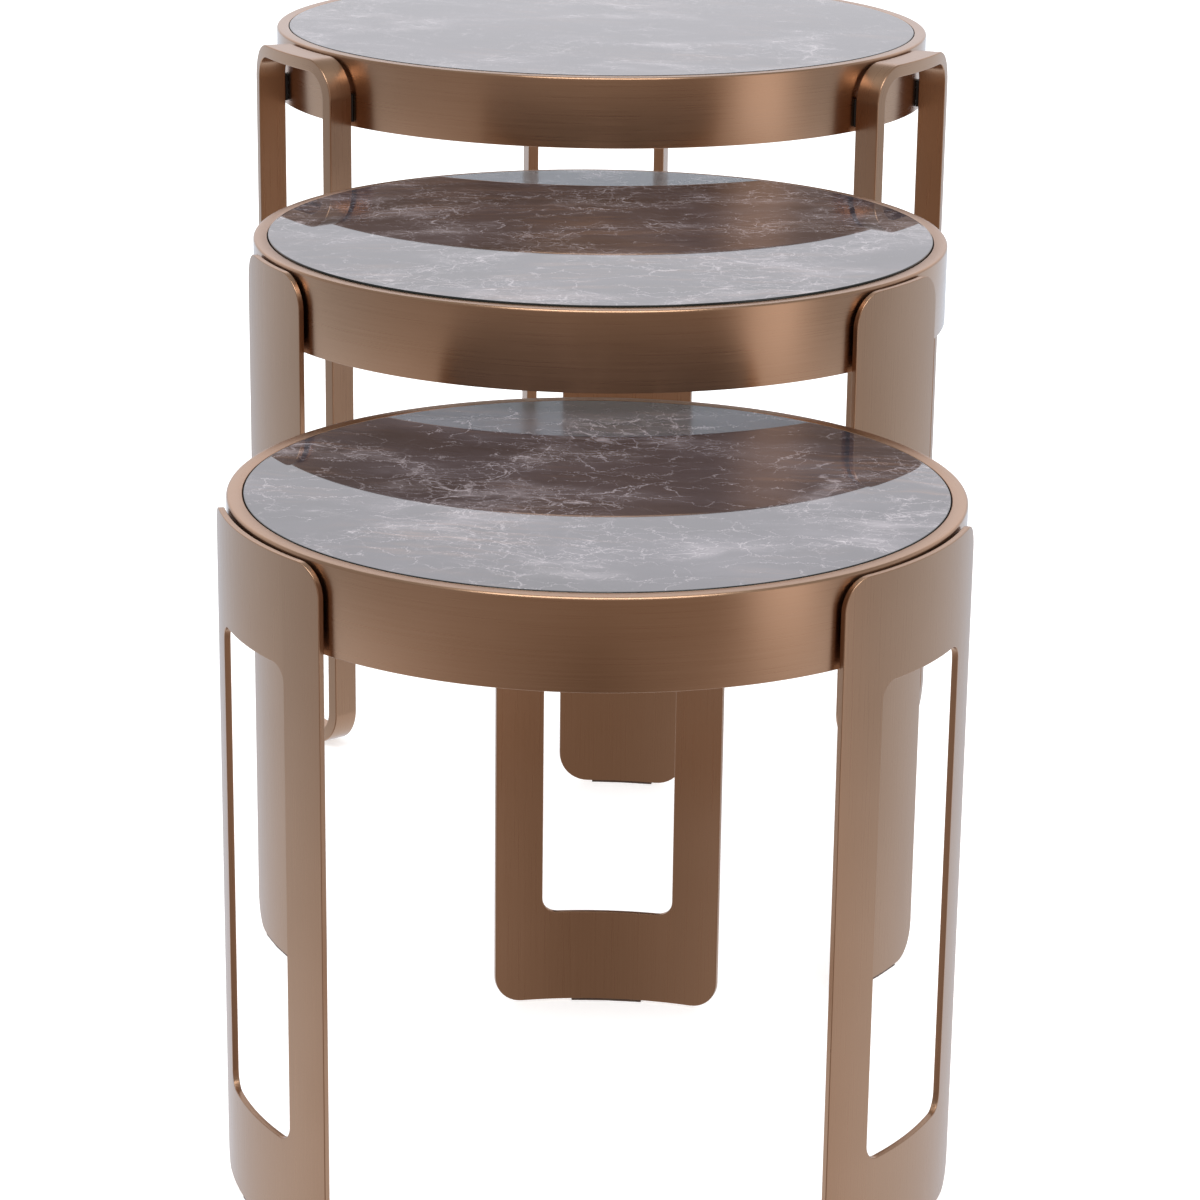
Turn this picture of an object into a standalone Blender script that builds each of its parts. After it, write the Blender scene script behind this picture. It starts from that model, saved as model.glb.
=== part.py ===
"""Set of three round nesting tables, standing in a staggered row.

Each table is a rolled metal ring with a glass top let into it and three legs that stand
outside the ring: pierced curved plates on the small table, plain curved plates on the
middle one and closed bar frames on the large one. +Z is up, +Y runs from the small table
to the large one, and the origin is on the floor under the middle of the row.
"""
import bmesh
import bpy
from math import cos, pi, radians, sin
from mathutils import Matrix, Vector

MM = 0.001

# Overall sizes
SMALL_RADIUS = 228 * MM          # outside of the small table's ring
SMALL_HEIGHT = 444 * MM          # floor to the top of its rim
RING_HEIGHT = 56 * MM
NEST_ROOM_MIDDLE = 16 * MM       # radial room between the small legs and the middle ring
NEST_ROOM_LARGE = 20.5 * MM
STACK_GAP_MIDDLE = 15 * MM     # small top to the underside of the middle ring
STACK_GAP_LARGE = 16 * MM
TUCK_OF_SMALL = 50.7 * MM          # how far the small ring stands under the middle one
SPACE_BEHIND_MIDDLE = 0.3 * MM     # middle ring to large ring, seen from above

# Clearances
FIT = 0.3 * MM                   # between faces that touch
GLASS_GROOVE = 0.6 * MM          # open groove round the glass
PANEL_ROOM = 0.8 * MM            # round the panel under the glass
HOLE_ROOM = 0.3 * MM             # round a screw's shank

# Ring
RIM_WIDTH = 10 * MM
RIM_THICKNESS = 2 * MM
RIM_ROUNDING = 1.5 * MM
ROUNDING_WAY = 0.3                # where the middle of a three-point rounding lies
WALL = 1.5 * MM
LEDGE_WIDTH = 14 * MM            # shelf that the panel rests on
ROUND_SEGMENTS = 60              # sides of every large round piece

# Top
GLASS_THICKNESS = 8 * MM
GLASS_PROUD = 0.2 * MM           # glass above the rim
GLASS_PROUD_MIDDLE = 1.2 * MM
GASKET_THICKNESS = 1.2 * MM
GASKET_WIDTH = 6 * MM
GASKET_INSET = 4 * MM            # from the glass's edge
PANEL_THICKNESS = 12 * MM

# Legs
LEG_DROP = 2 * MM                # leg top below the rim
PLATE_THICKNESS = 4 * MM
PLATE_GAP = 2 * MM               # between ring and plate leg
SMALL_LEG_WIDTH = 162 * MM       # along the curve
SMALL_LEG_CORNER = 19.5 * MM
WINDOW_WIDTH = 93.5 * MM
WINDOW_CORNER = 10.7 * MM
WINDOW_SILL = 68 * MM            # floor to the window
WINDOW_HEAD = 14 * MM            # ring to the window
MIDDLE_LEG_WIDTH = 105 * MM
MIDDLE_LEG_CORNER = 24 * MM
BAR_DEPTH = 22.5 * MM              # radial depth of the bar frames
BAR_THICKNESS = 10.3 * MM
BAR_GAP = 2.5 * MM
LARGE_LEG_WIDTH = 138 * MM
LARGE_LEG_CORNER = 31 * MM
CURVE_STEP = radians(5)
SHARP_ABOVE = radians(35)
CORNER_STEPS = 3
WELD = 0.001 * MM                # points closer than this are one

# Glides, spacers and screws
GLIDE_HEIGHT = 1.2 * MM
GLIDE_WIDTH = 50 * MM
GLIDE_INSET = 0.5 * MM           # in from each face of the leg
SPACER_HEIGHT = 22 * MM
SPACER_WIDTH = 76 * MM
BAR_SPACER_WIDTH = 8 * MM
SCREW_SPREAD = 50 * MM           # between the two screws of a plate leg
SCREW_RISE = 15 * MM             # above the ring's lower edge
SHANK_RADIUS = 2 * MM
HEAD_RADIUS = 4 * MM
HEAD_HEIGHT = 2.6 * MM
SOCKET_RADIUS = 1.6 * MM
SOCKET_DEPTH = 1.4 * MM
PLATE_BITE = 2.5 * MM            # screw's length inside a plate leg
BAR_BITE = 10 * MM
SCREW_SIDES = 8
CROWN_HEIGHT = 0.9 * MM          # domed part of the head
CROWN_RADIUS = 3 * MM
DRILL_REACH = 3 * MM             # how far a drill runs past the wall it cuts

LEG_ANGLES = {"front_left": radians(-60), "front_right": radians(60), "rear": pi}
SMALL_TURN = radians(-2.7)       # each table as it stands, turned about its own axis
MIDDLE_TURN = radians(-5.3)
LARGE_TURN = radians(0.8)

FINISHES = {
    "brushed_bronze": ((0.235, 0.130, 0.078), 0.32, 1.0),
    "marble_glass": ((0.055, 0.045, 0.042), 0.04, 0.0),
    "grey_panel": ((0.185, 0.171, 0.160), 0.12, 0.0),
    "black_rubber": ((0.012, 0.012, 0.012), 0.80, 0.0),
    "black_nylon": ((0.020, 0.020, 0.020), 0.55, 0.0),
    "brown_nylon": ((0.090, 0.055, 0.035), 0.60, 0.0),
    "zinc_steel": ((0.560, 0.570, 0.580), 0.35, 1.0),
}


def clear_scene():
    for item in list(bpy.data.objects):
        bpy.data.objects.remove(item, do_unlink=True)


def finish(name):
    material = bpy.data.materials.get(name)
    if material:
        return material
    colour, roughness, metallic = FINISHES[name]
    material = bpy.data.materials.new(name)
    material.use_nodes = True
    shader = material.node_tree.nodes["Principled BSDF"]
    shader.inputs["Base Color"].default_value = (*colour, 1.0)
    shader.inputs["Roughness"].default_value = roughness
    shader.inputs["Metallic"].default_value = metallic
    return material


def add_object(name, bm, finish_name, parent=None):
    bmesh.ops.recalc_face_normals(bm, faces=bm.faces[:])
    if bm.calc_volume(signed=True) < 0:
        bmesh.ops.reverse_faces(bm, faces=bm.faces[:])
    mesh = bpy.data.meshes.new(name)
    bm.to_mesh(mesh)
    bm.free()
    mesh.materials.append(finish(finish_name))
    obj = bpy.data.objects.new(name, mesh)
    bpy.context.scene.collection.objects.link(obj)
    obj.parent = parent
    return obj


def smooth(obj):
    obj.data.shade_smooth()
    obj.data.set_sharp_from_angle(angle=SHARP_ABOVE)


def turned(profile, segments):
    """A closed (radius, z) profile turned about Z; a point on the axis becomes one vertex."""
    bm = bmesh.new()
    rows = []
    for radius, z in profile:
        if radius == 0:
            rows.append([bm.verts.new((0, 0, z))] * segments)
            continue
        turn = [2 * pi * i / segments for i in range(segments)]
        rows.append([bm.verts.new((radius * sin(a), -radius * cos(a), z)) for a in turn])
    for row, following in zip(rows, rows[1:] + rows[:1]):
        if row[0] is row[1] and following[0] is following[1]:
            continue
        for i in range(segments):
            j = (i + 1) % segments
            corners = []
            for vert in (row[i], row[j], following[j], following[i]):
                if vert not in corners:
                    corners.append(vert)
            bm.faces.new(corners)
    return bm


def rounded_outline(width, low, high, corner, centre=0.0):
    """Points of an upright rounded rectangle, as (distance along the curve, z)."""
    side = width / 2 - corner
    points = []
    for quarter, (x, z) in enumerate([(side, high - corner), (-side, high - corner),
                                      (-side, low + corner), (side, low + corner)]):
        for i in range(CORNER_STEPS + 1):
            a = pi / 2 * (quarter + i / CORNER_STEPS)
            points.append((centre + x + corner * cos(a), z + corner * sin(a)))
    return points


def plain_outline(width, low, high, centre=0.0):
    left, right = centre - width / 2, centre + width / 2
    return [(left, low), (right, low), (right, high), (left, high)]


def bent_plate(outlines, outer_radius, thickness, turn):
    """A flat plate with its outlines cut out, rolled to outer_radius about Z."""
    bm = bmesh.new()
    for outline in outlines:
        verts = [bm.verts.new((s, 0, z)) for s, z in outline]
        for vert, following in zip(verts, verts[1:] + verts[:1]):
            bm.edges.new((vert, following))
    bmesh.ops.triangle_fill(bm, use_beauty=True, edges=bm.edges[:])
    reach = max(abs(s) for s, z in outlines[0])
    step = CURVE_STEP * outer_radius
    cuts = int(reach / step)
    for k in range(-cuts, cuts + 1):
        everything = bm.verts[:] + bm.edges[:] + bm.faces[:]
        bmesh.ops.bisect_plane(bm, geom=everything, dist=WELD,
                               plane_co=(k * step, 0, 0), plane_no=(1, 0, 0))
    grown = bmesh.ops.extrude_face_region(bm, geom=bm.faces[:])["geom"]
    for item in grown:
        if isinstance(item, bmesh.types.BMVert):
            item.co.y = thickness
    for vert in bm.verts:
        a = turn + vert.co.x / outer_radius
        r = outer_radius - vert.co.y
        vert.co = Vector((r * sin(a), -r * cos(a), vert.co.z))
    return bm


def radial_place(radius, turn, z):
    """Local +Z to the outward radial direction at turn, at the given radius and height."""
    outward = Vector((sin(turn), -cos(turn), 0))
    sideways = Vector((cos(turn), sin(turn), 0))
    place = Matrix((sideways, Vector((0, 0, 1)), outward)).transposed().to_4x4()
    if place.determinant() < 0:
        place = Matrix((-sideways, Vector((0, 0, 1)), outward)).transposed().to_4x4()
    place.translation = outward * radius + Vector((0, 0, z))
    return place


def drilled(obj, holes, hole_radius):
    """Cuts round radial holes, each (turn, z, inner radius, outer radius), out of obj."""
    cutter = bmesh.new()
    for turn, z, inner, outer in holes:
        place = radial_place((inner + outer) / 2, turn, z)
        bmesh.ops.create_cone(cutter, cap_ends=True, segments=SCREW_SIDES, depth=outer - inner,
                              radius1=hole_radius, radius2=hole_radius, matrix=place)
    tool = add_object("drill", cutter, "zinc_steel", obj.parent)
    tool.hide_render = True
    tool.display_type = "WIRE"
    modifier = obj.modifiers.new("holes", "BOOLEAN")
    modifier.operation = "DIFFERENCE"
    modifier.solver = "EXACT"
    modifier.object = tool
    graph = bpy.context.evaluated_depsgraph_get()
    cut = bpy.data.meshes.new_from_object(obj.evaluated_get(graph))
    obj.modifiers.clear()
    obj.data = cut
    bpy.data.objects.remove(tool, do_unlink=True)


def screw_mesh(length):
    """Button-head screw along +Z: its head under z = 0, its shank above."""
    neck = SOCKET_DEPTH - HEAD_HEIGHT
    return turned([(0, length), (SHANK_RADIUS, length), (SHANK_RADIUS, 0), (HEAD_RADIUS, 0),
                   (HEAD_RADIUS, CROWN_HEIGHT - HEAD_HEIGHT), (CROWN_RADIUS, -HEAD_HEIGHT),
                   (SOCKET_RADIUS, -HEAD_HEIGHT), (SOCKET_RADIUS, neck), (0, neck)], SCREW_SIDES)


def ring(table, base):
    radius, top = table["radius"], table["height"]
    inner = radius - RIM_WIDTH
    shelf = top - table["shelf_depth"]
    bottom = top - RING_HEIGHT
    profile = [(radius, bottom), (radius, top - RIM_ROUNDING),
               (radius - RIM_ROUNDING * ROUNDING_WAY, top - RIM_ROUNDING * ROUNDING_WAY),
               (radius - RIM_ROUNDING, top), (inner, top), (inner, shelf),
               (inner - LEDGE_WIDTH, shelf), (inner - LEDGE_WIDTH, shelf - WALL),
               (inner + WALL, shelf - WALL), (inner + WALL, top - RIM_THICKNESS),
               (radius - WALL, top - RIM_THICKNESS), (radius - WALL, bottom)]
    obj = add_object(table["name"] + "_ring", turned(profile, ROUND_SEGMENTS), "brushed_bronze", base)
    inmost, outmost = radius - WALL - DRILL_REACH, radius + DRILL_REACH
    holes = [(turn, z, inmost, outmost) for turn, z in table["screws"].values()]
    drilled(obj, holes, SHANK_RADIUS + HOLE_ROOM)
    smooth(obj)


def top_stack(table, base):
    """Glass, the soft ring under it and the panel that the ledge carries."""
    name = table["name"]
    inner = table["radius"] - RIM_WIDTH
    glass_top = table["height"] + table["glass_proud"]
    glass_bottom = glass_top - GLASS_THICKNESS
    glass_radius = inner - GLASS_GROOVE
    glass = [(0, glass_top), (glass_radius, glass_top), (glass_radius, glass_bottom), (0, glass_bottom)]
    smooth(add_object(name + "_glass_top", turned(glass, ROUND_SEGMENTS), "marble_glass", base))

    panel_bottom = table["height"] - table["shelf_depth"] + FIT
    panel_top = panel_bottom + PANEL_THICKNESS
    panel_radius = inner - PANEL_ROOM
    panel = [(0, panel_top), (panel_radius, panel_top), (panel_radius, panel_bottom), (0, panel_bottom)]
    smooth(add_object(name + "_panel", turned(panel, ROUND_SEGMENTS), "grey_panel", base))

    outer = glass_radius - GASKET_INSET
    low, high = panel_top + FIT, glass_bottom - FIT
    gasket = [(outer, low), (outer, high), (outer - GASKET_WIDTH, high), (outer - GASKET_WIDTH, low)]
    smooth(add_object(name + "_gasket", turned(gasket, ROUND_SEGMENTS // 2), "black_rubber", base))


def leg(table, base, place, turn):
    name = table["name"]
    inner = table["radius"] + table["leg_gap"]
    outer = inner + table["leg_depth"]
    low, high = GLIDE_HEIGHT + FIT, table["height"] - LEG_DROP
    outlines = [rounded_outline(table["leg_width"], low, high, table["leg_corner"])]
    if table["window"]:
        width, sill, head, corner = table["window"]
        outlines.append(rounded_outline(width, sill, head, corner))
    bm = bent_plate(outlines, outer, table["leg_depth"], turn)
    obj = add_object(f"{name}_leg_{place}", bm, "brushed_bronze", base)
    screws = {key: value for key, value in table["screws"].items() if key.startswith(place)}
    bite = inner + table["bite"] + FIT
    holes = [(a, z, inner - table["leg_gap"], bite) for a, z in screws.values()]
    drilled(obj, holes, SHANK_RADIUS + HOLE_ROOM)
    smooth(obj)

    glide_outer = outer - GLIDE_INSET
    glide = bent_plate([plain_outline(GLIDE_WIDTH, 0, GLIDE_HEIGHT)], glide_outer,
                       table["leg_depth"] - 2 * GLIDE_INSET, turn)
    add_object(f"{name}_glide_{place}", glide, "brown_nylon", base)


def spacers(table, base, place, turn):
    """Pads between ring and leg: one behind a plate leg, one behind each upright of a frame."""
    pad_outer = table["radius"] + table["leg_gap"] - FIT
    thickness = table["leg_gap"] - 2 * FIT
    middle = table["height"] - RING_HEIGHT + SCREW_RISE
    low, high = middle - SPACER_HEIGHT / 2, middle + SPACER_HEIGHT / 2
    for side, spread, width in table["pads"]:
        label = f"{place}_{side}" if side else place
        bm = bent_plate([plain_outline(width, low, high)], pad_outer, thickness,
                        turn + spread / (table["radius"] + table["leg_gap"] + table["leg_depth"]))
        obj = add_object(f"{table['name']}_spacer_{label}", bm, "black_nylon", base)
        own = [value for key, value in table["screws"].items() if key.startswith(label)]
        holes = [(a, z, table["radius"] - WALL, pad_outer + thickness) for a, z in own]
        drilled(obj, holes, SHANK_RADIUS + HOLE_ROOM)


def screws(table, base):
    seat = (table["radius"] - WALL) * cos(pi / ROUND_SEGMENTS) - FIT
    length = table["radius"] + table["leg_gap"] + table["bite"] - seat
    for key, (turn, z) in table["screws"].items():
        obj = add_object(f"{table['name']}_screw_{key}", screw_mesh(length), "zinc_steel", base)
        obj.matrix_local = radial_place(seat, turn, z)
        smooth(obj)


def with_screws(table):
    """Adds each screw's angle about the table's axis and its height."""
    z = table["height"] - RING_HEIGHT + SCREW_RISE
    outer = table["radius"] + table["leg_gap"] + table["leg_depth"]
    offset = table["screw_spread"] / 2 / outer
    table["screws"] = {}
    for place, turn in LEG_ANGLES.items():
        table["screws"][place + "_a"] = (turn + table["turn"] - offset, z)
        table["screws"][place + "_b"] = (turn + table["turn"] + offset, z)
    return table


def layout():
    """The three tables' sizes and places, each worked out from the one that nests in it."""
    shelf_depth = GLASS_THICKNESS + GASKET_THICKNESS + PANEL_THICKNESS + 3 * FIT
    plate_reach = PLATE_GAP + PLATE_THICKNESS
    upright = LARGE_LEG_WIDTH - BAR_THICKNESS
    small = {"name": "small", "radius": SMALL_RADIUS, "height": SMALL_HEIGHT,
             "leg_gap": PLATE_GAP, "leg_depth": PLATE_THICKNESS, "leg_width": SMALL_LEG_WIDTH,
             "leg_corner": SMALL_LEG_CORNER, "turn": SMALL_TURN, "glass_proud": GLASS_PROUD,
             "screw_spread": SCREW_SPREAD, "bite": PLATE_BITE, "pads": [("", 0, SPACER_WIDTH)]}
    small["window"] = (WINDOW_WIDTH, WINDOW_SILL, SMALL_HEIGHT - RING_HEIGHT - WINDOW_HEAD, WINDOW_CORNER)
    middle = dict(small, name="middle", radius=SMALL_RADIUS + plate_reach + NEST_ROOM_MIDDLE,
                  height=SMALL_HEIGHT + RING_HEIGHT + STACK_GAP_MIDDLE, leg_width=MIDDLE_LEG_WIDTH,
                  leg_corner=MIDDLE_LEG_CORNER, turn=MIDDLE_TURN, glass_proud=GLASS_PROUD_MIDDLE, window=None)
    large = dict(small, name="large", radius=middle["radius"] + plate_reach + NEST_ROOM_LARGE,
                 height=middle["height"] + RING_HEIGHT + STACK_GAP_LARGE, leg_gap=BAR_GAP,
                 leg_depth=BAR_DEPTH, leg_width=LARGE_LEG_WIDTH, leg_corner=LARGE_LEG_CORNER,
                 turn=LARGE_TURN, screw_spread=upright, bite=BAR_BITE)
    large["window"] = (LARGE_LEG_WIDTH - 2 * BAR_THICKNESS, GLIDE_HEIGHT + FIT + BAR_THICKNESS,
                       large["height"] - LEG_DROP - BAR_THICKNESS, LARGE_LEG_CORNER - BAR_THICKNESS)
    large["pads"] = [("a", -upright / 2, BAR_SPACER_WIDTH), ("b", upright / 2, BAR_SPACER_WIDTH)]

    large_reach = large["radius"] + large["leg_gap"] + large["leg_depth"]
    small_to_middle = small["radius"] + middle["radius"] - TUCK_OF_SMALL
    middle_to_large = middle["radius"] + large["radius"] + SPACE_BEHIND_MIDDLE
    length = small["radius"] + small_to_middle + middle_to_large + large_reach
    small["y"] = small["radius"] - length / 2
    middle["y"] = small["y"] + small_to_middle
    large["y"] = middle["y"] + middle_to_large
    half = LARGE_LEG_WIDTH / 2 / large_reach
    widest = [sin(LEG_ANGLES["front_right"] + side * large["turn"] + half) for side in (1, -1)]
    large["x"] = -large_reach * (widest[0] - widest[1]) / 2
    small["x"] = middle["x"] = 0.0
    for table in (small, middle, large):
        table["shelf_depth"] = shelf_depth
        with_screws(table)
    return large, middle, small


def build():
    clear_scene()
    for table in layout():
        base = bpy.data.objects.new(table["name"] + "_table", None)
        bpy.context.scene.collection.objects.link(base)
        base.location = (table["x"], table["y"], 0)
        bpy.context.view_layer.update()
        ring(table, base)
        top_stack(table, base)
        for place, angle in LEG_ANGLES.items():
            leg(table, base, place, angle + table["turn"])
            spacers(table, base, place, angle + table["turn"])
        screws(table, base)


build()
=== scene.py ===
import bmesh
import bpy
from math import cos, pi, radians, sin
from mathutils import Matrix, Vector


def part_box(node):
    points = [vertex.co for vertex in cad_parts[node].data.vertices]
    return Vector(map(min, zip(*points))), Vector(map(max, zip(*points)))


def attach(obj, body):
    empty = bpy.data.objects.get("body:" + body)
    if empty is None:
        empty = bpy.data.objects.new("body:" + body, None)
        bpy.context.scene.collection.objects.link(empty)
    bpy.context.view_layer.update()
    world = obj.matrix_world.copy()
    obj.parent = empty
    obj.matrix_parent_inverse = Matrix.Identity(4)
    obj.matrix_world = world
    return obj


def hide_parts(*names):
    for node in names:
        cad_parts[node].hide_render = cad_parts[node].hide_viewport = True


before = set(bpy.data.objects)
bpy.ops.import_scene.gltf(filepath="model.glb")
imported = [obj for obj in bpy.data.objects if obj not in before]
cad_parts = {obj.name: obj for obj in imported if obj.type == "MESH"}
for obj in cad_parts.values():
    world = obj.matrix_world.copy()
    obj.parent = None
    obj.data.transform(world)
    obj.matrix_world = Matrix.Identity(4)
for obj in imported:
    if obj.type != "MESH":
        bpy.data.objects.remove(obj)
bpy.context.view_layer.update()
mm = 0.001
tables = ["small", "middle", "large"]
legAngles = {"front_left": radians(-60), "front_right": radians(60), "rear": pi}


def hexColour(code):
    # sRGB hex to the linear values that shaders use
    parts = [int(code[i:i + 2], 16) / 255 for i in (1, 3, 5)]
    return [c / 12.92 if c <= 0.04045 else ((c + 0.055) / 1.055) ** 2.4 for c in parts] + [1.0]


def addNode(tree, kind, settings=None, **links):
    # each input is a value or another node's output, named as From_Min or numbered as _0
    node = tree.nodes.new(kind)
    for key, value in (settings or {}).items():
        setattr(node, key, value)
    for key, value in links.items():
        spot = node.inputs[int(key[1:])] if key[1:].isdigit() else node.inputs[key.replace("_", " ")]
        if isinstance(value, bpy.types.NodeSocket):
            tree.links.new(value, spot)
        else:
            spot.default_value = value
    return node


def newMaterial(name):
    material = bpy.data.materials.new(name)
    material.use_nodes = True
    return material, material.node_tree, material.node_tree.nodes["Principled BSDF"]


def setRamp(node, stops):
    ramp = node.color_ramp
    while len(ramp.elements) > 1:
        ramp.elements.remove(ramp.elements[0])
    for i, (position, colour) in enumerate(stops):
        spot = ramp.elements[0] if i == 0 else ramp.elements.new(position)
        spot.position = position
        spot.color = colour if len(colour) == 4 else [*colour, 1.0]


# Brushed stainless steel, coloured bronze by a thin vacuum coating under clear lacquer:
# fine hairlines that stretch each highlight across the brushing, and a warm brown metal that
# turns pale and grey where it is seen at a low angle.
bronze = {
    "colour": "#B89478", "deepColour": "#A98466", "edgeTint": "#D6CFC9",
    "hairline": 0.3 * mm,  # real ones are about 0.05 mm, too fine to show
    "hairlineLength": 60 * mm, "coarseLine": 1.8 * mm, "coarseLength": 180 * mm, "coarseShare": 0.45,
    "patch": 70 * mm, "lineSpread": 1.6, "patchSpread": 0.6,
    "roughness": 0.30, "roughnessSpread": 0.04, "anisotropy": 0.75, "acrossGrain": 0.25,
    "lineDepth": 0.012 * mm, "lineBump": 0.5, "lacquer": 0.55, "lacquerRoughness": 0.25,
}


def brushedBronze(name, facts, lineContrast):
    material, tree, shader = newMaterial(name)
    link = tree.links.new
    place = addNode(tree, "ShaderNodeUVMap", {"uv_map": "grain"})

    def streaks(width, length, detail):
        # noise drawn out along the brushing
        scaled = addNode(tree, "ShaderNodeMapping", None, Vector=place.outputs["UV"],
                         Scale=(1 / length, 1 / width, 1))
        noise = addNode(tree, "ShaderNodeTexNoise", {"noise_dimensions": "2D"},
                        Vector=scaled.outputs["Vector"], Scale=1.0, Detail=detail, Roughness=0.65)
        return noise.outputs["Fac"]

    fine = streaks(facts["hairline"], facts["hairlineLength"], 3)
    coarse = streaks(facts["coarseLine"], facts["coarseLength"], 2)
    lines = addNode(tree, "ShaderNodeMix", {"data_type": "FLOAT"}, Factor=facts["coarseShare"], A=fine,
                    B=coarse).outputs["Result"]
    where = addNode(tree, "ShaderNodeTexCoord")
    patch = addNode(tree, "ShaderNodeTexNoise", None, Vector=where.outputs["Object"],
                    Scale=1 / facts["patch"], Detail=2, Roughness=0.5)
    # lines and patches each swing the shade round its middle, from the deep colour to the light one
    lineSwing = facts["lineSpread"] * lineContrast
    shade = addNode(tree, "ShaderNodeMath", {"operation": "MULTIPLY_ADD"}, _0=lines, _1=lineSwing,
                    _2=0.5 - lineSwing / 2)
    shade = addNode(tree, "ShaderNodeMath", {"operation": "MULTIPLY_ADD"}, _0=patch.outputs["Fac"],
                    _1=facts["patchSpread"], _2=shade.outputs[0])
    shade = addNode(tree, "ShaderNodeMath", {"operation": "SUBTRACT", "use_clamp": True},
                    _0=shade.outputs[0], _1=facts["patchSpread"] / 2)
    ramp = addNode(tree, "ShaderNodeValToRGB", None, Fac=shade.outputs[0])
    setRamp(ramp, [(0.0, hexColour(facts["deepColour"])), (1.0, hexColour(facts["colour"]))])
    link(ramp.outputs["Color"], shader.inputs["Base Color"])
    rough = addNode(tree, "ShaderNodeMapRange", None, Value=lines, From_Min=0.3, From_Max=0.7,
                    To_Min=facts["roughness"] - facts["roughnessSpread"],
                    To_Max=facts["roughness"] + facts["roughnessSpread"])
    link(rough.outputs["Result"], shader.inputs["Roughness"])
    bump = addNode(tree, "ShaderNodeBump", None, Strength=facts["lineBump"] * lineContrast,
                   Distance=facts["lineDepth"], Height=lines)
    link(bump.outputs["Normal"], shader.inputs["Normal"])
    grain = addNode(tree, "ShaderNodeTangent", {"direction_type": "UV_MAP", "uv_map": "grain"})
    link(grain.outputs["Tangent"], shader.inputs["Tangent"])
    shader.inputs["Metallic"].default_value = 1.0
    shader.inputs["Anisotropic"].default_value = facts["anisotropy"]
    shader.inputs["Anisotropic Rotation"].default_value = facts["acrossGrain"]
    shader.inputs["Specular Tint"].default_value = hexColour(facts["edgeTint"])
    shader.inputs["Coat Weight"].default_value = facts["lacquer"]
    shader.inputs["Coat Roughness"].default_value = facts["lacquerRoughness"]
    return material


# Toughened float glass printed on its back as dark marble: a mirror-smooth face over
# a brown black stone with pale veins, so it shows the room as much as the stone.
marble = {
    "dark": "#322E32", "mid": "#403C42", "pale": "#5A565C", "vein": "#C2B9BE", "warm": "#6A5348",
    "cloud": 150 * mm, "swirl": 50 * mm, "streakWidth": 8 * mm, "veinReach": 230 * mm,
    "veinCell": 52 * mm, "netCell": 24 * mm, "crackCell": 11 * mm,
    "veinWidth": 0.010,  # as a share of the cell that the vein borders
    "warmBeds": 0.65, "milk": 0.36, "fineNet": 0.5, "wideNet": 0.5, "longVeins": 0.42, "thread": 0.4,
    "roughness": 0.015, "ior": 1.52,
}


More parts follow.
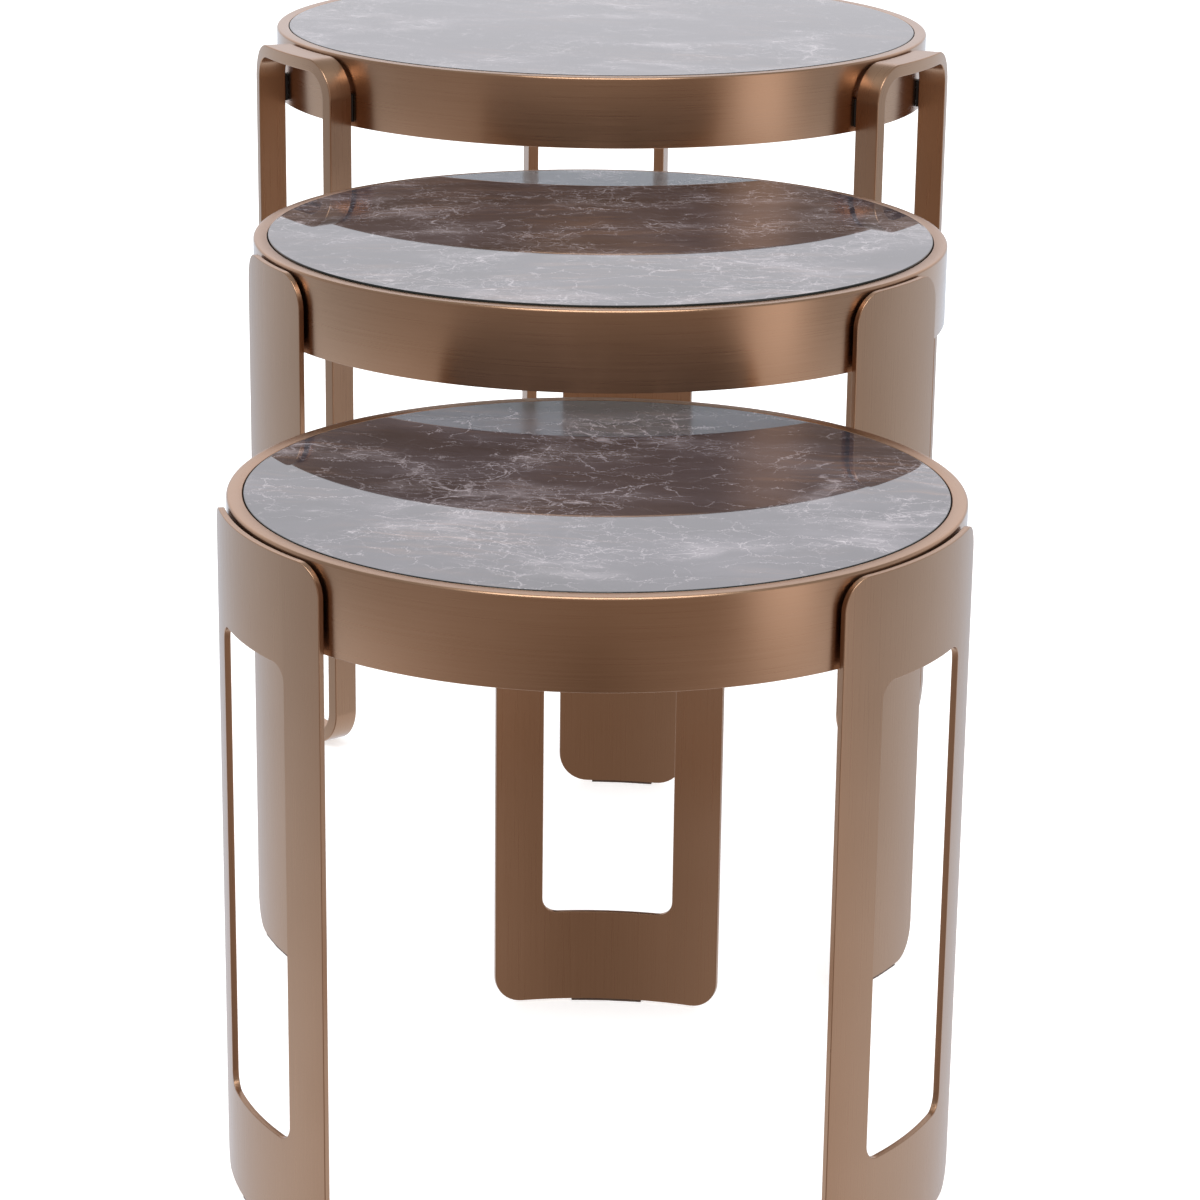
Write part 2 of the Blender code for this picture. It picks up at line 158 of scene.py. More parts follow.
def marbleGlass(name, facts, cut):
    material, tree, shader = newMaterial(name)
    where = addNode(tree, "ShaderNodeTexCoord")
    moved = addNode(tree, "ShaderNodeMapping", None, Vector=where.outputs["Object"],
                    Location=cut["from"], Rotation=(0, 0, cut["turn"]))
    swirls = addNode(tree, "ShaderNodeTexNoise", None, Vector=moved.outputs["Vector"],
                     Scale=1 / facts["cloud"], Detail=4, Roughness=0.6)
    bent = addNode(tree, "ShaderNodeVectorMath", {"operation": "MULTIPLY_ADD"}, _0=swirls.outputs["Color"],
                   _1=(facts["swirl"], facts["swirl"], 0), _2=moved.outputs["Vector"]).outputs[0]

    def clouds(size, stretch, detail, rough):
        scaled = addNode(tree, "ShaderNodeMapping", None, Vector=bent, Scale=stretch)
        return addNode(tree, "ShaderNodeTexNoise", None, Vector=scaled.outputs["Vector"],
                       Scale=1 / size, Detail=detail, Roughness=rough).outputs["Fac"]

    def patches(size, stretch, detail, rough, clear, full):
        # clouds that are cut away below clear and solid above full
        cloud = clouds(size, stretch, detail, rough)
        return addNode(tree, "ShaderNodeMapRange", {"interpolation_type": "SMOOTHSTEP"}, Value=cloud,
                       From_Min=clear, From_Max=full, To_Min=0, To_Max=1).outputs["Result"]

    def contour(value, width):
        # a line where the value passes its middle, fading out at width to each side
        gap = addNode(tree, "ShaderNodeMath", {"operation": "SUBTRACT"}, _0=value, _1=0.5)
        gap = addNode(tree, "ShaderNodeMath", {"operation": "ABSOLUTE"}, _0=gap.outputs[0])
        return addNode(tree, "ShaderNodeMapRange", {"interpolation_type": "SMOOTHSTEP"}, Value=gap.outputs[0],
                       From_Min=0, From_Max=width, To_Min=1, To_Max=0).outputs["Result"]

    def cracks(cell, stretch, width, wobble):
        # thin bright lines along the borders of irregular cells
        jitter = addNode(tree, "ShaderNodeTexNoise", None, Vector=bent, Scale=2.2 / cell, Detail=5,
                         Roughness=0.7)
        pushed = addNode(tree, "ShaderNodeVectorMath", {"operation": "MULTIPLY_ADD"},
                         _0=jitter.outputs["Color"], _1=(wobble, wobble, 0), _2=bent)
        scaled = addNode(tree, "ShaderNodeMapping", None, Vector=pushed.outputs[0], Scale=stretch)
        cells = addNode(tree, "ShaderNodeTexVoronoi", {"feature": "DISTANCE_TO_EDGE"},
                        Vector=scaled.outputs["Vector"], Scale=1 / cell)
        line = addNode(tree, "ShaderNodeMapRange", {"interpolation_type": "SMOOTHSTEP"},
                       Value=cells.outputs["Distance"], From_Min=0, From_Max=width, To_Min=1, To_Max=0)
        return line.outputs["Result"]

    def layer(under, over, *shares):
        # a colour laid over what is there, as much as all the shares leave when multiplied
        amount = shares[0]
        for share in shares[1:]:
            both = addNode(tree, "ShaderNodeMath", {"operation": "MULTIPLY"}, _0=amount, _1=share)
            amount = both.outputs[0]
        return addNode(tree, "ShaderNodeMix", {"data_type": "RGBA"}, Factor=amount, A=under,
                       B=hexColour(over)).outputs["Result"]

    ground = addNode(tree, "ShaderNodeValToRGB", None, Fac=clouds(facts["cloud"], (1, 2.2, 1), 5, 0.6))
    setRamp(ground, [(0.34, hexColour(facts["dark"])), (0.55, hexColour(facts["mid"])),
                     (0.78, hexColour(facts["pale"]))])
    # fine warm bedding lines that run across the top in places
    beds = patches(facts["streakWidth"], (0.08, 1, 1), 5, 0.7, 0.46, 0.66)
    bedPatches = patches(facts["cloud"] * 0.8, (0.7, 1.3, 1), 3, 0.6, 0.42, 0.62)
    stone = layer(ground.outputs["Color"], facts["warm"], beds, bedPatches, facts["warmBeds"])
    # milky drifts along one wandering line, with a fine net of cracks in them
    reach = clouds(facts["veinReach"], (1, 1.25, 1), 3, 0.55)
    drift = contour(reach, 0.08)
    milk = patches(facts["veinCell"], (0.6, 1.2, 1), 6, 0.7, 0.45, 0.75)
    stone = layer(stone, facts["vein"], drift, milk, facts["milk"])
    fineNet = cracks(facts["crackCell"], (0.8, 1.1, 1), facts["veinWidth"] * 3, 12 * mm)
    stone = layer(stone, facts["vein"], fineNet, drift, facts["fineNet"])
    # a wider net that comes and goes, a few long veins, and a thread along the line itself
    broken = patches(facts["netCell"], (1, 1, 1), 5, 0.7, 0.42, 0.62)
    wideNet = cracks(facts["netCell"], (0.7, 1.2, 1), facts["veinWidth"] * 1.6, 22 * mm)
    stone = layer(stone, facts["vein"], wideNet, broken, facts["wideNet"])
    fade = patches(facts["cloud"] * 0.7, (1, 1, 1), 3, 0.6, 0.42, 0.62)
    longVeins = cracks(facts["veinCell"], (0.5, 1.25, 1), facts["veinWidth"], 36 * mm)
    stone = layer(stone, facts["vein"], longVeins, fade, facts["longVeins"])
    stone = layer(stone, facts["vein"], contour(reach, 0.004), broken, facts["thread"])
    tree.links.new(stone, shader.inputs["Base Color"])
    shader.inputs["Roughness"].default_value = facts["roughness"]
    shader.inputs["IOR"].default_value = facts["ior"]
    return material


def plainMaterial(name, colour, roughness, metallic=0.0, grain=0.0, size=1 * mm, ior=None):
    # a speckle of the given size moves the colour by grain, and the gloss and height a little
    material, tree, shader = newMaterial(name)
    where = addNode(tree, "ShaderNodeTexCoord")
    speckle = addNode(tree, "ShaderNodeTexNoise", None, Vector=where.outputs["Object"], Scale=1 / size,
                      Detail=3, Roughness=0.6)
    tone = addNode(tree, "ShaderNodeValToRGB", None, Fac=speckle.outputs["Fac"])
    light = hexColour(colour)[:3]
    setRamp(tone, [(0.3, [c * (1 - grain) for c in light]), (0.7, light)])
    tree.links.new(tone.outputs["Color"], shader.inputs["Base Color"])
    rough = addNode(tree, "ShaderNodeMapRange", None, Value=speckle.outputs["Fac"], From_Min=0.3,
                    From_Max=0.7, To_Min=roughness * 0.85, To_Max=roughness * 1.15)
    tree.links.new(rough.outputs["Result"], shader.inputs["Roughness"])
    bump = addNode(tree, "ShaderNodeBump", None, Strength=0.3, Distance=size * 0.05,
                   Height=speckle.outputs["Fac"])
    tree.links.new(bump.outputs["Normal"], shader.inputs["Normal"])
    shader.inputs["Metallic"].default_value = metallic
    if ior:
        shader.inputs["IOR"].default_value = ior
    return material


print("materials")
ringBronze = brushedBronze("bronze steel brushed round", bronze, 0.7)
legBronze = brushedBronze("bronze steel brushed upright", bronze, 0.35)
# ground and polished edge: a green black line with a sharp glint
glassEdge = plainMaterial("float glass edge", "#141A18", 0.08, size=3 * mm, ior=1.52)
# pressed laminate: pale and glossy, so the tops in front mirror it as a light grey lens
greyPanel = plainMaterial("grey gloss laminate", "#A3A09E", 0.06, grain=0.06, size=2 * mm)
# moulded spacers: matt and dark, so they vanish in the gap behind a leg
blackNylon = plainMaterial("black moulded nylon", "#151413", 0.55, grain=0.2, size=0.8 * mm)
# moulded glides: matt and close to the bronze, so they don't draw the eye
brownNylon = plainMaterial("brown moulded nylon", "#5A4436", 0.6, grain=0.2, size=0.8 * mm)
# extruded gasket: dull black, with no highlight
blackRubber = plainMaterial("black rubber", "#100F0F", 0.8, grain=0.2, size=0.6 * mm)
# plated screws: bright and slightly mottled
zincSteel = plainMaterial("zinc plated steel", "#A9ABAA", 0.32, metallic=1.0, grain=0.12, size=1.5 * mm)


def addPiece(bm, materials, node, sharp):
    # a detailed piece that stands for one CAD node and rides on its table
    words = node.split("_")
    name = words[0] + "".join(word.capitalize() for word in words[1:])
    mesh = bpy.data.meshes.new(name)
    bmesh.ops.recalc_face_normals(bm, faces=bm.faces[:])
    if bm.calc_volume(signed=True) < 0:
        bmesh.ops.reverse_faces(bm, faces=bm.faces[:])
    bm.to_mesh(mesh)
    bm.free()
    piece = bpy.data.objects.new(name, mesh)
    bpy.context.scene.collection.objects.link(piece)
    for material in materials:
        mesh.materials.append(material)
    mesh.shade_smooth()
    mesh.set_sharp_from_angle(angle=sharp)
    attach(piece, words[0] + "_table")
    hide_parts(node)
    return piece


def middleOf(box):
    low, high = box
    return (low[0] + high[0]) / 2, (low[1] + high[1]) / 2


def arcPoints(centre, radius, start, end, steps):
    turn = [radians(start + (end - start) * i / steps) for i in range(steps + 1)]
    return [(centre[0] + radius * cos(a), centre[1] + radius * sin(a)) for a in turn]


def turnedShape(profile, segments, centre, materialOf=None):
    # a (radius, height) profile turned about an upright axis, with its grain running round
    bm = bmesh.new()
    grain = bm.loops.layers.uv.new("grain")
    closed = profile[0][0] > 0
    along = [0.0]
    for (r0, z0), (r1, z1) in zip(profile, profile[1:] + profile[:1]):
        along.append(along[-1] + ((r1 - r0) ** 2 + (z1 - z0) ** 2) ** 0.5)
    rows = []
    for radius, z in profile:
        if radius == 0:
            rows.append([bm.verts.new((centre[0], centre[1], z))] * segments)
            continue
        ring = []
        for k in range(segments):
            a = 2 * pi * k / segments
            ring.append(bm.verts.new((centre[0] - radius * sin(a), centre[1] + radius * cos(a), z)))
        rows.append(ring)
    count = len(rows) if closed else len(rows) - 1
    reach = max(r for r, z in profile)
    for i in range(count):
        row, nextRow = rows[i], rows[(i + 1) % len(rows)]
        for k in range(segments):
            j = (k + 1) % segments
            spots = [(row[k], k, i), (row[j], k + 1, i), (nextRow[j], k + 1, i + 1), (nextRow[k], k, i + 1)]
            # on the axis two corners are one vertex, and the face is a triangle
            spots = [s for n, s in enumerate(spots) if s[0] not in [t[0] for t in spots[:n]]]
            face = bm.faces.new([s[0] for s in spots])
            for loop, (vert, across, up) in zip(face.loops, spots):
                loop[grain].uv = (across / segments * 2 * pi * reach, along[up])
            if materialOf:
                face.material_index = materialOf(i)
    return bm


def bend(bm, centre, outer, turn):
    # flat (s, depth, z) to a curved plate whose outside has the given radius
    for vert in bm.verts:
        a = turn + vert.co.x / outer
        r = outer - vert.co.y
        vert.co = Vector((centre[0] + r * sin(a), centre[1] - r * cos(a), vert.co.z))


def cornerDrop(s, half, corner):
    # how far a rounded corner pulls the end in at distance s from the middle
    into = abs(s) - (half - corner)
    return 0.0 if into <= 0 else corner - max(corner ** 2 - into ** 2, 0) ** 0.5


legMesh = {"columnPitch": 3 * mm, "cornerSteps": 10, "windowSteps": 8, "barSteps": 4,
           "edgeRound": 0.55 * mm, "edgeSteps": 3}


def plateColumns(facts, window):
    # distances from the middle, close together at the rounded corners
    def cornerSpots(half, corner, steps):
        return {round(half - corner + corner * sin(radians(90 * i / steps)), 6) for i in range(steps + 1)}

    half, corner = facts["width"] / 2, facts["corner"]
    straight = half - corner
    spots = cornerSpots(half, corner, legMesh["cornerSteps"])
    if window:
        windowHalf = window["width"] / 2
        spots |= cornerSpots(windowHalf, window["corner"], legMesh["windowSteps"])
        bar, barSteps = straight - windowHalf, legMesh["barSteps"]
        spots |= {round(windowHalf + bar * i / barSteps, 6) for i in range(1, barSteps)}
        straight = windowHalf - window["corner"]
    steps = int(straight / legMesh["columnPitch"])
    spots |= {round(straight * i / steps, 6) for i in range(steps)}
    return sorted(spots | {-s for s in spots})


def plateShape(facts, low, high, window):
    # a flat plate in columns, so each bends on its own straight line
    bm = bmesh.new()

    def pillar(s, y):
        drop = cornerDrop(s, facts["width"] / 2, facts["corner"])
        heights = [low + drop, high - drop]
        if window and abs(s) <= window["width"] / 2 + 1e-6:
            pull = cornerDrop(s, window["width"] / 2, window["corner"])
            heights = [low + drop, window["low"] + pull, window["high"] - pull, high - drop]
        return [bm.verts.new((s, y, z)) for z in heights]

    for y in (0, facts["thickness"]):
        pillars = [pillar(s, y) for s in plateColumns(facts, window)]
        for left, right in zip(pillars, pillars[1:]):
            if len(left) == 4 and len(right) == 4:
                bm.faces.new((left[0], right[0], right[1], left[1]))
                bm.faces.new((left[2], right[2], right[3], left[3]))
            else:
                bm.faces.new(left[:1] + right + left[:0:-1])
    # the open borders of the two skins are joined by the plate's edges
    borders = [e for e in bm.edges if len(e.link_faces) == 1]
    pairs = {}
    for edge in borders:
        for vert in edge.verts:
            pairs.setdefault((round(vert.co.x, 7), round(vert.co.z, 7)), {})[vert.co.y > 1e-6] = vert
    done = set()
    for edge in borders:
        ends = [pairs[(round(v.co.x, 7), round(v.co.z, 7))] for v in edge.verts]
        key = frozenset(id(e) for e in ends)
        if key in done:
            continue
        done.add(key)
        bm.faces.new((ends[0][False], ends[1][False], ends[1][True], ends[0][True]))
    bmesh.ops.recalc_face_normals(bm, faces=bm.faces[:])
    return bm


def softenEdges(bm):
    # rounds the long edges where a skin meets the plate's edge
    sharp = [e for e in bm.edges if len(e.link_faces) == 2
             and e.link_faces[0].normal.angle(e.link_faces[1].normal) > radians(60)
             and abs(e.verts[0].co.y - e.verts[1].co.y) < 1e-6]
    bmesh.ops.bevel(bm, geom=sharp, offset=legMesh["edgeRound"], segments=legMesh["edgeSteps"], profile=0.5,
                    affect="EDGES", clamp_overlap=False)


def uprightGrain(bm, turn):
    # brushing runs up the leg, and each leg's turn starts it at another place in the pattern
    grain = bm.loops.layers.uv.new("grain")
    for face in bm.faces:
        for loop in face.loops:
            loop[grain].uv = (loop.vert.co.z + turn, loop.vert.co.x + loop.vert.co.y + turn * 0.37)


def barFrame(facts, low, high):
    # a closed bar frame, swept flat round its rounded rectangle
    half, corner, bar, depth = facts["width"] / 2, facts["corner"], facts["bar"], facts["thickness"]
    side, soft = half - corner, facts["edge"]
    path = []
    for quarter, (x, z) in enumerate([(side, high - corner), (-side, high - corner),
                                      (-side, low + corner), (side, low + corner)]):
        for i in range(facts["cornerSteps"] + 1):
            a = pi / 2 * (quarter + i / facts["cornerSteps"])
            path.append((x + corner * cos(a), z + corner * sin(a), cos(a), sin(a)))
        if quarter in (0, 2):
            # the top and bottom bars are cut into short lengths, so that they bend smoothly
            direction = -1 if quarter == 0 else 1
            runs = int(2 * side / legMesh["columnPitch"])
            facing = sin(pi / 2 * (quarter + 1))
            for i in range(1, runs):
                path.append((x + direction * 2 * side * i / runs, z + corner * facing, 0.0, facing))
    section = (arcPoints((bar - soft, depth - soft), soft, 0, 90, 3)
               + arcPoints((soft, depth - soft), soft, 90, 180, 3)
               + arcPoints((soft, soft), soft, 180, 270, 3)
               + arcPoints((bar - soft, soft), soft, 270, 360, 3))
    bm = bmesh.new()
    grain = bm.loops.layers.uv.new("grain")
    rows = [[bm.verts.new((x - nx * inward, y, z - nz * inward)) for inward, y in section]
            for x, z, nx, nz in path]
    along, across = [0.0], [0.0]
    for line, total in ((path, along), (section, across)):
        for a, b in zip(line, line[1:] + line[:1]):
            total.append(total[-1] + ((a[0] - b[0]) ** 2 + (a[1] - b[1]) ** 2) ** 0.5)
    for i, row in enumerate(rows):
        nextRow = rows[(i + 1) % len(rows)]
        for k in range(len(section)):
            j = (k + 1) % len(section)
            face = bm.faces.new((row[k], row[j], nextRow[j], nextRow[k]))
            corners = [(i, k), (i, k + 1), (i + 1, k + 1), (i + 1, k)]
            for loop, (step, place) in zip(face.loops, corners):
                loop[grain].uv = (along[step], across[place])
    return bm


rim = {"segments": 240, "width": 10 * mm, "thickness": 2 * mm, "wall": 1.5 * mm, "ledge": 14 * mm,
       "seatGap": 0.3 * mm, "outerRound": 1.8 * mm, "innerRound": 0.6 * mm, "footRound": 0.5 * mm}


def makeRing(table, centre, radius, bottom, top):
    # rim on top, wall outside, and an inner ledge that the panel lies on: one rolled piece
    inner, wall, underRim = radius - rim["width"], rim["wall"], top - rim["thickness"]
    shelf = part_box(table + "_panel")[0][2] - rim["seatGap"]
    big, small, foot = rim["outerRound"], rim["innerRound"], rim["footRound"]
    profile = (arcPoints((radius - foot, bottom + foot), foot, -90, 0, 3)
               + arcPoints((radius - big, top - big), big, 0, 90, 8)
               + arcPoints((inner + small, top - small), small, 90, 180, 3)
               + [(inner, shelf), (inner - rim["ledge"] + small, shelf)]
               + arcPoints((inner - rim["ledge"] + small, shelf - small), small, 90, 180, 2)
               + [(inner - rim["ledge"], shelf - wall), (inner + wall, shelf - wall),
                  (inner + wall, underRim), (radius - wall, underRim)]
               + arcPoints((radius - wall + foot, bottom + foot), foot, 180, 270, 2))
    addPiece(turnedShape(profile, rim["segments"], centre), [ringBronze], table + "_ring",
             radians(40))


# where on the slab each top was cut, so that no two tops show the same veins
stoneCuts = {"small": {"from": (0.31, 0.52, 0.1), "turn": 0.15},
             "middle": {"from": (1.73, 0.24, 0.4), "turn": -0.1},
             "large": {"from": (3.1, 1.9, 0.8), "turn": 0.3}}
glass = {"segments": 240, "arris": 0.5 * mm, "flatMargin": 1 * mm}


def makeGlassTop(table, centre):
    low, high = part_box(table + "_glass_top")
    radius, arris = (high[0] - low[0]) / 2, glass["arris"]
    flat = radius - arris - glass["flatMargin"]  # keeps the arris from tilting the flat's reflections
    profile = ([(0, high[2]), (flat, high[2])]
               + arcPoints((radius - arris, high[2] - arris), arris, 90, 0, 3)
               + [(radius, low[2] + arris), (radius - arris, low[2]), (flat, low[2]), (0, low[2])])
    stone = marbleGlass(f"dark marble glass {table}", marble, stoneCuts[table])
    addPiece(turnedShape(profile, glass["segments"], centre, lambda i: 0 if i < 2 else 1),
             [stone, glassEdge], table + "_glass_top", radians(30))


def makePanel(table, centre):
    low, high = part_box(table + "_panel")
    radius = (high[0] - low[0]) / 2
    flat = radius - glass["flatMargin"]
    profile = [(0, high[2]), (flat, high[2]), (radius, high[2]),
               (radius, low[2]), (flat, low[2]), (0, low[2])]
    addPiece(turnedShape(profile, glass["segments"], centre), [greyPanel], table + "_panel",
             radians(30))


legs = {
    "small": {"width": 162 * mm, "corner": 19.5 * mm, "thickness": 4 * mm, "gap": 2 * mm,
              "turn": radians(-2.7), "window": {"width": 93.5 * mm, "corner": 10.7 * mm},
              "sill": 68 * mm, "head": 14 * mm},
    "middle": {"width": 105 * mm, "corner": 24 * mm, "thickness": 4 * mm, "gap": 2 * mm,
               "turn": radians(-5.3)},
    "large": {"width": 138 * mm, "corner": 31 * mm, "thickness": 22.5 * mm, "gap": 2.5 * mm,
              "turn": radians(0.8), "bar": 10.3 * mm, "edge": 0.9 * mm, "cornerSteps": 14},
}


def makeLegs(table, centre, radius, bottom):
    facts = legs[table]
    outer = radius + facts["gap"] + facts["thickness"]
    window = None
    if "window" in facts:
        window = {**facts["window"], "low": facts["sill"], "high": bottom - facts["head"]}
    for place, angle in legAngles.items():
        low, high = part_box(f"{table}_leg_{place}")
        turn = angle + facts["turn"]
        if "bar" in facts:
            bm = barFrame(facts, low[2], high[2])
        else:
            bm = plateShape(facts, low[2], high[2], window)
            softenEdges(bm)
            uprightGrain(bm, turn)
        bend(bm, centre, outer, turn)
        leg = addPiece(bm, [legBronze], f"{table}_leg_{place}", radians(50))
        leg.modifiers.new("flat faces", "WEIGHTED_NORMAL").keep_sharp = True


screw = {"segments": 36, "shaft": 2 * mm, "chamfer": 0.4 * mm, "head": 4 * mm, "height": 2.6 * mm,
         "straight": 0.45, "socket": 1.5 * mm, "lipWidth": 0.3 * mm, "lipDepth": 0.2 * mm,
         "depth": 1.5 * mm, "drillPoint": 1.15}  # shares of the head's height and of the socket's depth


def makeScrew(node, cad):
    # a button head with a six-sided socket, whose shaft runs outwards through the ring into the leg
    centre = middleOf(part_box(node.split("_")[0] + "_ring"))
    spot = [sum(v) / 2 for v in zip(*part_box(node))]
    outward = Vector((spot[0] - centre[0], spot[1] - centre[1], 0)).normalized()
    reach = [Vector((v.co.x - centre[0], v.co.y - centre[1], 0)).dot(outward) for v in cad.data.vertices]
    seat = min(reach) + screw["height"]
    tip, shaft, chamfer = max(reach) - seat, screw["shaft"], screw["chamfer"]
    head, height, socket = screw["head"], screw["height"], screw["socket"]
    side = height * screw["straight"]
    dome = [(head * cos(radians(a)), -side - (height - side) * sin(radians(a))) for a in (20, 40, 60)]
    profile = ([(0, tip), (shaft - chamfer, tip), (shaft, tip - chamfer), (shaft, 0),
                (head, 0), (head, -side)]
               + dome
               + [(socket + screw["lipWidth"], -height), (socket, screw["lipDepth"] - height),
                  (socket, screw["depth"] - height), (0, screw["depth"] * screw["drillPoint"] - height)])
    bm = turnedShape(profile, screw["segments"], (0, 0))
    for vert in bm.verts:
        # six flats in the socket
        flat = (vert.co.x ** 2 + vert.co.y ** 2) ** 0.5
        if 0 < flat < socket + 0.1 * mm and vert.co.z < 0:
            a = Vector((vert.co.x, vert.co.y)).angle_signed(Vector((1, 0))) % (pi / 3) - pi / 6
            vert.co.x, vert.co.y = vert.co.x * cos(pi / 6) / cos(a), vert.co.y * cos(pi / 6) / cos(a)
    sideways = Vector((0, 0, 1)).cross(outward)
    place = Matrix((sideways, outward.cross(sideways), outward)).transposed().to_4x4()
    place.translation = Vector((centre[0], centre[1], spot[2])) + outward * seat
    bmesh.ops.transform(bm, matrix=place, verts=bm.verts[:])
    addPiece(bm, [zincSteel], node, radians(35))


print("shapes")
for table in tables:
    low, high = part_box(table + "_ring")
    centre, radius = middleOf((low, high)), (high[0] - low[0]) / 2
    makeRing(table, centre, radius, low[2], high[2])
    makeGlassTop(table, centre)
    makePanel(table, centre)
    makeLegs(table, centre, radius, low[2])

print("fixings")
smallParts = {"gasket": blackRubber, "spacer": blackNylon, "glide": brownNylon}
for node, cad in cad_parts.items():
    if "_screw_" in node:
        makeScrew(node, cad)
    for part, material in smallParts.items():
        if f"_{part}" in node:
            cad.data.materials.clear()
            cad.data.materials.append(material)


print("room")
floorFacts = {"size": 14.0, "colour": "#F6F6F6", "roughness": 0.9, "glow": 0.65}  # size in metres
bm = bmesh.new()
bmesh.ops.create_grid(bm, x_segments=1, y_segments=1, size=floorFacts["size"] / 2)
floorMesh = bpy.data.meshes.new("floor")
bm.to_mesh(floorMesh)
bm.free()
floor = bpy.data.objects.new("floor", floorMesh)
bpy.context.scene.collection.objects.link(floor)
# pale paper lit from below: it hides the horizon and keeps shadows faint
paper = plainMaterial("pale paper floor, lit from below", floorFacts["colour"],
                      floorFacts["roughness"], size=3 * mm)
paperShader = paper.node_tree.nodes["Principled BSDF"]
paperShader.inputs["Emission Color"].default_value = hexColour(floorFacts["colour"])
paperShader.inputs["Emission Strength"].default_value = floorFacts["glow"]
floorMesh.materials.append(paper)
floor.visible_glossy = False  # the studio below the horizon is mirrored instead

# The studio that the metal and glass mirror, in four bands of height, by compass angle: 0 is the
# camera's side, 90 the right. Each stop is (angle, brightness, warmth). White paper stands behind,
# the camera's side is dark and warm, and an upright strip light stands on its right.
studio = {
    "highWalls": [(-180, 1.6, -0.1), (-155, 1.4, -0.1), (-125, 0.8, 0.0), (-100, 0.45, 0.0),
                  (-60, 0.35, 0.3), (0, 0.28, 0.8), (42, 0.30, 0.6), (52, 1.3, 0.2), (64, 1.3, 0.2),
                  (74, 0.5, 0.1), (100, 0.55, 0.0), (125, 0.9, -0.1), (155, 1.4, -0.1), (180, 1.6, -0.1)],
    "lowWalls": [(-180, 1.12, -0.1), (-155, 1.05, -0.1), (-125, 0.65, -0.1), (-95, 0.45, 0.0),
                 (-60, 0.38, 0.3), (0, 0.28, 0.8), (40, 0.30, 0.8), (52, 1.0, 0.2), (64, 1.0, 0.2),
                 (76, 0.5, 0.0), (95, 0.5, 0.0), (125, 0.7, -0.1), (155, 1.05, -0.1), (180, 1.12, -0.1)],
    "farFloor": [(-180, 1.35, -0.6), (-140, 1.15, -0.6), (-115, 0.85, -0.6), (-95, 0.48, -0.4),
                 (-70, 0.36, 0.1), (-50, 0.36, 0.3), (0, 0.29, 0.95), (37, 0.28, 0.95), (45, 0.48, 0.5),
                 (51, 1.2, 0.1), (63, 1.4, 0.1), (70, 0.74, 0.1), (79, 0.42, -0.2), (92, 0.48, -0.4),
                 (115, 0.9, -0.6), (140, 1.2, -0.6), (180, 1.35, -0.6)],
    "nearFloor": [(-180, 1.4, -0.5), (-100, 1.05, -0.4), (-75, 0.8, 0.0), (-45, 0.42, 0.5),
                  (0, 0.15, 0.95), (45, 0.42, 0.5), (75, 0.8, 0.0), (100, 1.05, -0.4), (180, 1.4, -0.5)],
    "farFloorFrom": (-0.42, -0.28), "lowWallsFrom": (-0.1, 0.05), "highWallsFrom": (0.15, 0.36),
    "overheadFrom": (0.42, 0.6),  # sines of the heights where each band starts and is full
    "neutral": (1, 0.97, 1), "warm": (0.25, 0, -0.2),  # what warmth adds to red, green and blue
    "peak": 2.0, "overhead": 0.45, "seen": 1.15, "fill": 1.0,
}
world = bpy.data.worlds.new("studio")
bpy.context.scene.world = world
world.use_nodes = True
tree = world.node_tree
tree.nodes.clear()
direction = addNode(tree, "ShaderNodeTexCoord")
axes = addNode(tree, "ShaderNodeSeparateXYZ", None, Vector=direction.outputs["Generated"])
front = addNode(tree, "ShaderNodeMath", {"operation": "MULTIPLY"}, _0=axes.outputs["Y"], _1=-1.0)
compass = addNode(tree, "ShaderNodeMath", {"operation": "ARCTAN2"}, _0=axes.outputs["X"], _1=front.outputs[0])
turnShare = addNode(tree, "ShaderNodeMath", {"operation": "MULTIPLY_ADD"}, _0=compass.outputs[0],
                    _1=1 / (2 * pi), _2=0.5)


def band(stops):
    ramp = addNode(tree, "ShaderNodeValToRGB", None, Fac=turnShare.outputs[0])
    colours = []
    for angle, brightness, warmth in stops:
        tint = [plain + warmth * added for plain, added in zip(studio["neutral"], studio["warm"])]
        colours.append((angle / 360 + 0.5, [brightness * t / studio["peak"] for t in tint]))
    setRamp(ramp, colours)
    return ramp.outputs["Color"]


def crossFade(low, high, heights):
    # low below the first height, high above the second
    share = addNode(tree, "ShaderNodeMapRange", {"interpolation_type": "SMOOTHSTEP"}, Value=axes.outputs["Z"],
                    From_Min=heights[0], From_Max=heights[1], To_Min=0, To_Max=1)
    mix = addNode(tree, "ShaderNodeMix", {"data_type": "RGBA"}, Factor=share.outputs["Result"], A=low, B=high)
    return mix.outputs["Result"]


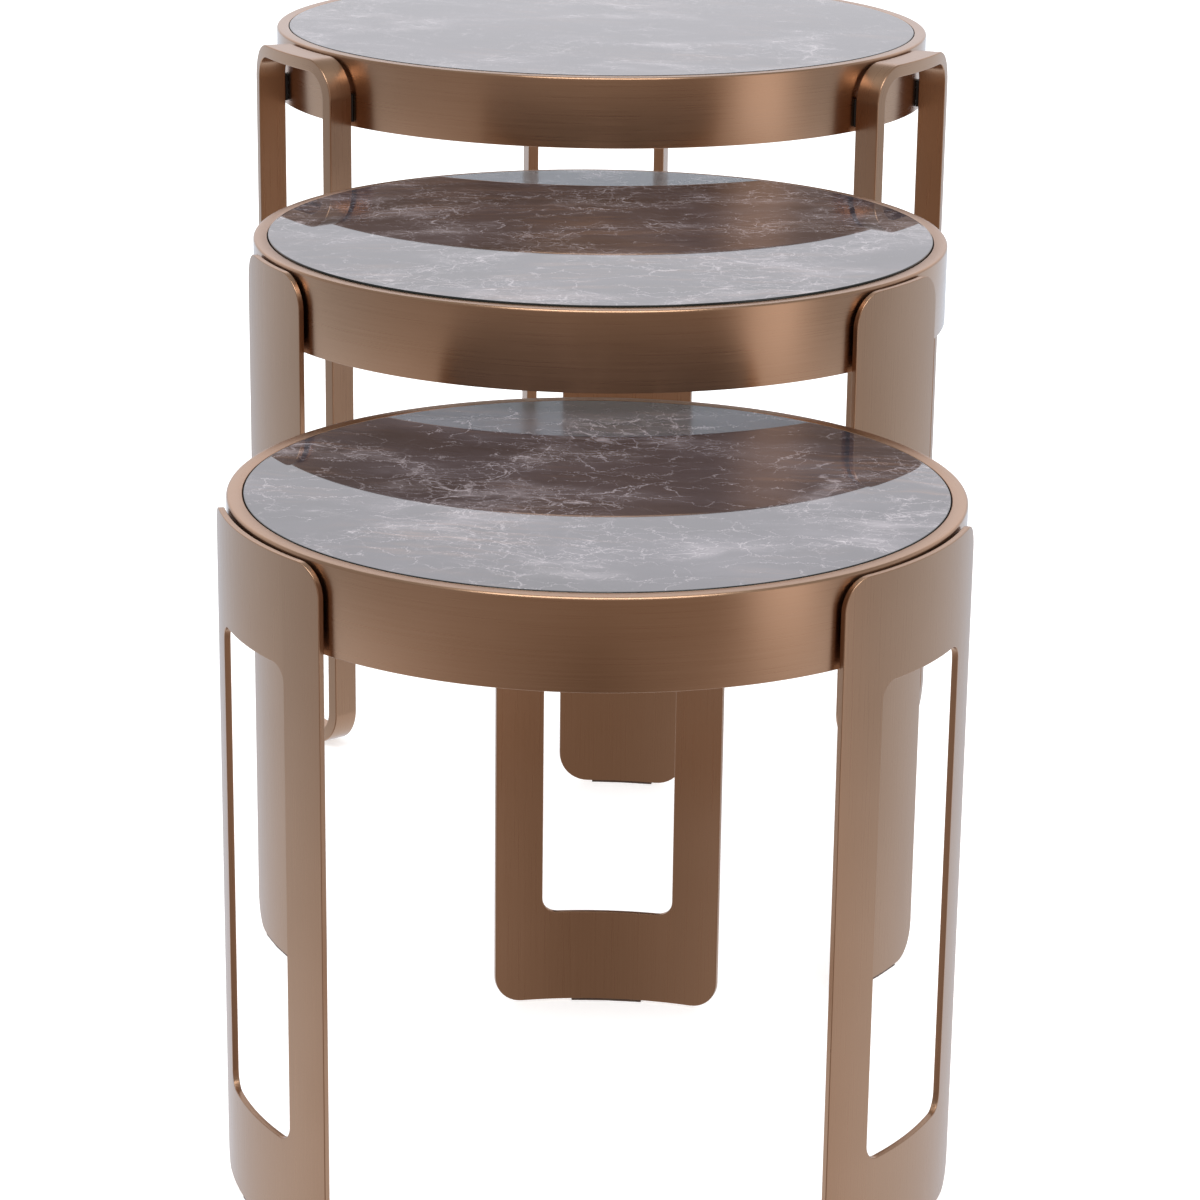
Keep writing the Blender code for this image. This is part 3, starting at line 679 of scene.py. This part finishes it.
dome = crossFade(band(studio["nearFloor"]), band(studio["farFloor"]), studio["farFloorFrom"])
dome = crossFade(dome, band(studio["lowWalls"]), studio["lowWallsFrom"])
dome = crossFade(dome, band(studio["highWalls"]), studio["highWallsFrom"])
dome = crossFade(dome, [studio["overhead"] / studio["peak"]] * 3 + [1.0], studio["overheadFrom"])
mirrored = addNode(tree, "ShaderNodeBackground", None, Color=dome, Strength=studio["peak"])
filled = addNode(tree, "ShaderNodeBackground", None, Color=(1, 1, 1, 1), Strength=studio["fill"])
seen = addNode(tree, "ShaderNodeBackground", None, Color=(1, 1, 1, 1), Strength=studio["seen"])
ray = addNode(tree, "ShaderNodeLightPath")
lit = addNode(tree, "ShaderNodeMixShader", None, _0=ray.outputs["Is Diffuse Ray"],
              _1=mirrored.outputs[0], _2=filled.outputs[0])
shown = addNode(tree, "ShaderNodeMixShader", None, _0=ray.outputs["Is Camera Ray"],
                _1=lit.outputs[0], _2=seen.outputs[0])
addNode(tree, "ShaderNodeOutputWorld", None, Surface=shown.outputs[0])

softbox = {"at": (0.0, -1.0, 2.3), "aim": (0, -0.1, 0.4), "size": (1.6, 1.2), "power": 26}
light = bpy.data.lights.new("overhead softbox", "AREA")
light.shape = "RECTANGLE"
light.size, light.size_y = softbox["size"]
light.energy = softbox["power"]
lamp = bpy.data.objects.new("overhead softbox", light)
lamp.location = softbox["at"]
lamp.rotation_euler = (Vector(softbox["aim"]) - Vector(softbox["at"])).to_track_quat("-Z", "Y").to_euler()
lamp.visible_camera = False
bpy.context.scene.collection.objects.link(lamp)

# Eye level of someone standing back from the row, with a long lens.
view = {"lens": 109.47, "sensor": 36.0, "back": 2.1681, "height": 1.0513, "down": 0.30387, "roll": 0.0125,
        "shift": 0.0034}
camera = bpy.data.cameras.new("camera")
camera.lens, camera.sensor_width, camera.shift_x = view["lens"], view["sensor"], view["shift"]
camera.clip_end = 60
eye = bpy.data.objects.new("camera", camera)
forward = Vector((0, cos(view["down"]), -sin(view["down"])))
level = Vector((1, 0, 0))
right = level * cos(view["roll"]) + level.cross(forward) * sin(view["roll"])
pose = Matrix((right, right.cross(forward), -forward)).transposed().to_4x4()
pose.translation = (0, middleOf(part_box("small_ring"))[1] - view["back"], view["height"])
eye.matrix_world = pose
bpy.context.scene.collection.objects.link(eye)
bpy.context.scene.camera = eye
bpy.context.scene.view_settings.view_transform = "Standard"

bpy.context.view_layer.update()
print("done")
